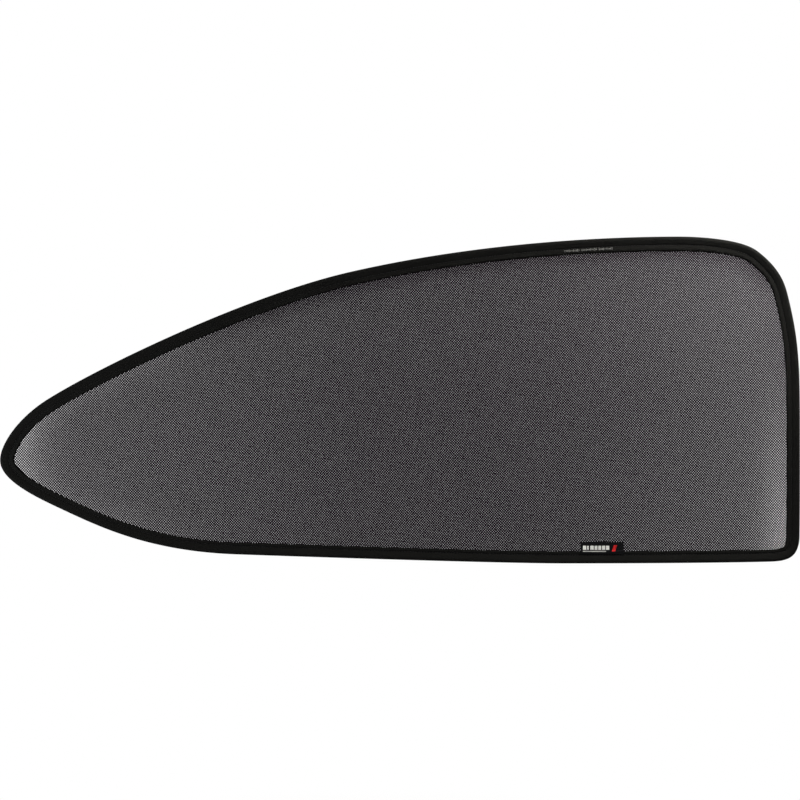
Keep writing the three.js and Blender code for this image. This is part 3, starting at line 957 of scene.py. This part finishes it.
class SHADE_OT_label(bpy.types.Operator):
    """Sew the woven label over the tape's inner edge"""

    bl_idname = "shade.label"
    bl_label = "Woven Label"

    def execute(self, context):
        sizes = context.scene.shade_label
        columns = np.linspace(LABEL_LOW[0], LABEL_HIGH[0], LABEL_COLUMNS)
        bottom, top = LABEL_LOW[2], LABEL_HIGH[2]
        lap = bottom + LABEL_LAP
        above_lap = np.linspace(lap + 0.3 * MM, top, OPEN_ROWS)
        heights = np.concatenate([np.linspace(bottom, lap, LAP_ROWS), above_lap])
        on_tape, on_net = LABEL_LOW[1], LABEL_HIGH[1] - sizes.thickness
        drop = smooth(ramp(lap, lap + LABEL_DROP, heights))
        x, z = np.meshgrid(columns, heights, indexing="ij")
        across = (x - columns[0]) / (columns[-1] - columns[0])
        up = (z - bottom) / (top - bottom)
        curl = LABEL_WAVE * up ** 3 * np.sin(across * 9 + 0.6) - LABEL_LIFT * up ** 4
        y = on_tape + (on_net - on_tape) * drop + curl
        corner = LABEL_CORNER * ramp(top - LABEL_CORNER, top, z) ** 2
        x = x + np.sign(0.5 - across) * corner * np.abs(2 * across - 1) ** 12
        verts = np.stack([x, y, z], axis=-1).reshape(-1, 3)
        piece = new_piece("label", verts, grid_faces(len(columns), len(heights)), label_finish())
        solid = piece.modifiers.new("Thickness", "SOLIDIFY")
        solid.thickness = sizes.thickness
        solid.offset = -1
        bevel = piece.modifiers.new("Soft Edges", "BEVEL")
        bevel.width = LABEL_EDGE
        bevel.segments = 2
        bevel.limit_method = "ANGLE"
        plain_copy(piece)
        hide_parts("woven_label")
        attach(piece, BODY)
        return {"FINISHED"}


# The print: the X of its ends, its depth from the edge and its thickness, how many marks make a word and
# which of them is left out, and the marks' widths and heights in turn, as shares of a mark's room and of the
# print's height
PRINT_START = 189.5 * MM
PRINT_END = 246.5 * MM
PRINT_DEPTH = 12.2 * MM
PRINT_RISE = 0.05 * MM
PRINT_WORD = 12
PRINT_GAP = 10
PRINT_WIDTHS = (0.5, 0.5, 0.5, 0.3, 0.5)
PRINT_HEIGHTS = (1.0, 0.7, 0.55, 0.85, 0.6, 0.5)


class SHADE_OT_print(bpy.types.Operator):
    """Print a row of plain marks on the roof tape"""

    bl_idname = "shade.print"
    bl_label = "Tape Print"

    def execute(self, context):
        sizes = context.scene.shade_label
        first, last = OUTLINE.on_roof(PRINT_END), OUTLINE.on_roof(PRINT_START)
        slot = (last - first) / sizes.print_count
        verts, faces = [], []
        for i in range(sizes.print_count):
            if i % PRINT_WORD == PRINT_GAP:
                continue
            wide = slot * PRINT_WIDTHS[i % len(PRINT_WIDTHS)]
            tall = sizes.print_height * PRINT_HEIGHTS[i % len(PRINT_HEIGHTS)]
            columns = first + slot * (i + 0.5) + np.linspace(-wide / 2, wide / 2, 4)
            rows = PRINT_DEPTH + np.linspace(-tall / 2, tall / 2, 6)
            gone, depth = (a.ravel() for a in np.meshgrid(columns, rows, indexing="ij"))
            at = OUTLINE.place(gone, depth)
            y = front_y(gone, depth) - PRINT_RISE
            faces.append(grid_faces(len(columns), len(rows)) + len(verts) * len(gone))
            verts.append(np.stack([at[:, 0], y, at[:, 1]], axis=-1))
        piece = new_piece("tape_print", np.concatenate(verts), np.concatenate(faces)[:, ::-1], print_finish())
        solid = piece.modifiers.new("Thickness", "SOLIDIFY")
        solid.thickness = PRINT_RISE
        solid.offset = -1
        plain_copy(piece)
        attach(piece, BODY)
        return {"FINISHED"}


class SHADE_OT_hardware(bpy.types.Operator):
    """Finish the wire, its ferrule and the magnets inside the tape"""

    bl_idname = "shade.hardware"
    bl_label = "Wire and Magnets"

    def execute(self, context):
        steel = steel_finish("spring_steel", (0.42, 0.43, 0.45), 0.28)
        nickel = steel_finish("magnet_nickel", (0.62, 0.60, 0.57), 0.2)
        for name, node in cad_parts.items():
            if name.startswith(("frame_wire", "wire_ferrule")):
                finish = steel
            elif name.startswith("magnet"):
                finish = nickel
            else:
                continue
            for material_slot in node.material_slots:
                material_slot.material = finish
        return {"FINISHED"}


# The studio


def white_world():
    """A soft grey light from all sides that the camera sees as white, and so do glossy and clear surfaces."""
    world = bpy.data.worlds.new("studio")
    world.use_nodes = True
    bpy.context.scene.world = world
    tree = Tree(world.node_tree)
    world.node_tree.nodes.clear()
    light = tree.node("ShaderNodeBackground", inputs={"Color": (0.8, 0.8, 0.8, 1), "Strength": 0.14})
    white = tree.node("ShaderNodeBackground", inputs={"Color": (1, 1, 1, 1), "Strength": 1.0})
    mixed = tree.node("ShaderNodeMixShader", inputs={0: tree.seen(), 1: light, 2: white})
    tree.node("ShaderNodeOutputWorld", inputs={"Surface": mixed})


def floor_finish():
    """White floor that keeps the shade's shadow and fades into the white background at its rim."""
    material = bpy.data.materials.new("studio_floor")
    material.use_nodes = True
    material.node_tree.nodes.clear()
    tree = Tree(material.node_tree)
    place = tree.node("ShaderNodeTexCoord").outputs["Object"]
    out = tree.value(tree.node("ShaderNodeVectorMath", {"operation": "LENGTH"}, {0: place}), "Value")
    rim = out.above(0.7, 0.45)
    matt = tree.node("ShaderNodeBsdfDiffuse", inputs={"Color": (0.8, 0.8, 0.8, 1)})
    glow = tree.node("ShaderNodeEmission", inputs={"Color": (1, 1, 1, 1), "Strength": tree.seen() * 0.5})
    lit = tree.node("ShaderNodeAddShader", inputs={0: matt, 1: glow})
    white = tree.node("ShaderNodeEmission", inputs={"Color": (1, 1, 1, 1), "Strength": 1.0})
    mixed = tree.node("ShaderNodeMixShader", inputs={0: rim * tree.seen(), 1: lit, 2: white})
    tree.node("ShaderNodeOutputMaterial", inputs={"Surface": mixed})
    return material


# The lamps: name, place and side in metres, power as a share of the lamp strength, and colour
LAMPS = (
    ("corner", (0.56, -0.22, 0.46), 0.3, 1.15, (1, 0.98, 0.9)),
    ("front", (0.5, -1.6, 1.1), 1.2, 0.48, (1, 1, 1)),
    ("left", (-0.9, -0.35, -0.2), 0.5, 0.75, (1, 1, 1)),
    ("right", (0.95, -0.5, -0.2), 0.5, 0.07, (1, 1, 1)),
    ("back", (-0.4, 1.6, 1.0), 1.2, 1, (1, 1, 1)),
)
SENSOR_WIDTH = 36
FLOOR_SIZE = 1.9


def area_lamp(name, place, size, power, colour):
    """A square lamp that shines on the shade's middle."""
    lamp = bpy.data.lights.new(name, "AREA")
    lamp.color = colour
    lamp.shape = "SQUARE"
    lamp.size = size
    lamp.energy = power
    holder = bpy.data.objects.new(name, lamp)
    bpy.context.scene.collection.objects.link(holder)
    holder.location = place
    holder.rotation_euler = (-holder.location).to_track_quat("-Z", "Y").to_euler()


class SHADE_OT_stage(bpy.types.Operator):
    """Set up the camera, the lamps and the white studio"""

    bl_idname = "shade.stage"
    bl_label = "Studio"

    def execute(self, context):
        sizes = context.scene.shade_stage
        scene = context.scene
        scene.view_settings.view_transform = "Standard"
        white_world()
        bpy.ops.mesh.primitive_plane_add(size=FLOOR_SIZE, location=(0, 0, TAPE_LOW[2] - sizes.floor_drop))
        floor = context.object
        floor.name = "studio_floor"
        floor.data.materials.append(floor_finish())
        for name, place, size, share, colour in LAMPS:
            area_lamp(name, place, size, sizes.lamp_strength * share, colour)
        camera = bpy.data.cameras.new("camera")
        camera.lens = sizes.lens
        camera.sensor_width = SENSOR_WIDTH
        length = TAPE_HIGH[0] - TAPE_LOW[0]
        away = length * camera.lens / camera.sensor_width
        holder = bpy.data.objects.new("camera", camera)
        scene.collection.objects.link(holder)
        holder.location = (0, -away, 0)
        holder.rotation_euler = (math.pi / 2, 0, 0)
        camera.clip_start, camera.clip_end = 0.05, 100
        scene.camera = holder
        return {"FINISHED"}


class SHADE_PT_panel(bpy.types.Panel):
    """Lists the steps that make the shade and the sizes that they read."""

    bl_idname = "SHADE_PT_panel"
    bl_label = "Sunshade"
    bl_space_type = "VIEW_3D"
    bl_region_type = "UI"
    bl_category = "Sunshade"

    def draw(self, context):
        for operator in OPERATORS:
            self.layout.operator(operator.bl_idname)
        for name, group in SETTINGS.items():
            box = self.layout.box()
            for size in group.__annotations__:
                box.prop(getattr(context.scene, name), size)


OPERATORS = (
    SHADE_OT_tape,
    SHADE_OT_net,
    SHADE_OT_stitches,
    SHADE_OT_label,
    SHADE_OT_print,
    SHADE_OT_hardware,
    SHADE_OT_stage,
)
SETTINGS = {
    "shade_tape": TapeSizes,
    "shade_net": NetSizes,
    "shade_stitch": StitchSizes,
    "shade_label": LabelSizes,
    "shade_stage": StageSizes,
}


def register():
    for cls in (*SETTINGS.values(), *OPERATORS, SHADE_PT_panel):
        bpy.utils.register_class(cls)
    for name, group in SETTINGS.items():
        setattr(bpy.types.Scene, name, PointerProperty(type=group))


def unregister():
    for name in SETTINGS:
        delattr(bpy.types.Scene, name)
    for cls in reversed((*SETTINGS.values(), *OPERATORS, SHADE_PT_panel)):
        bpy.utils.unregister_class(cls)


def main():
    register()
    for operator in OPERATORS:
        group, name = operator.bl_idname.split(".")
        getattr(getattr(bpy.ops, group), name)()


if __name__ == "__main__":
    main()
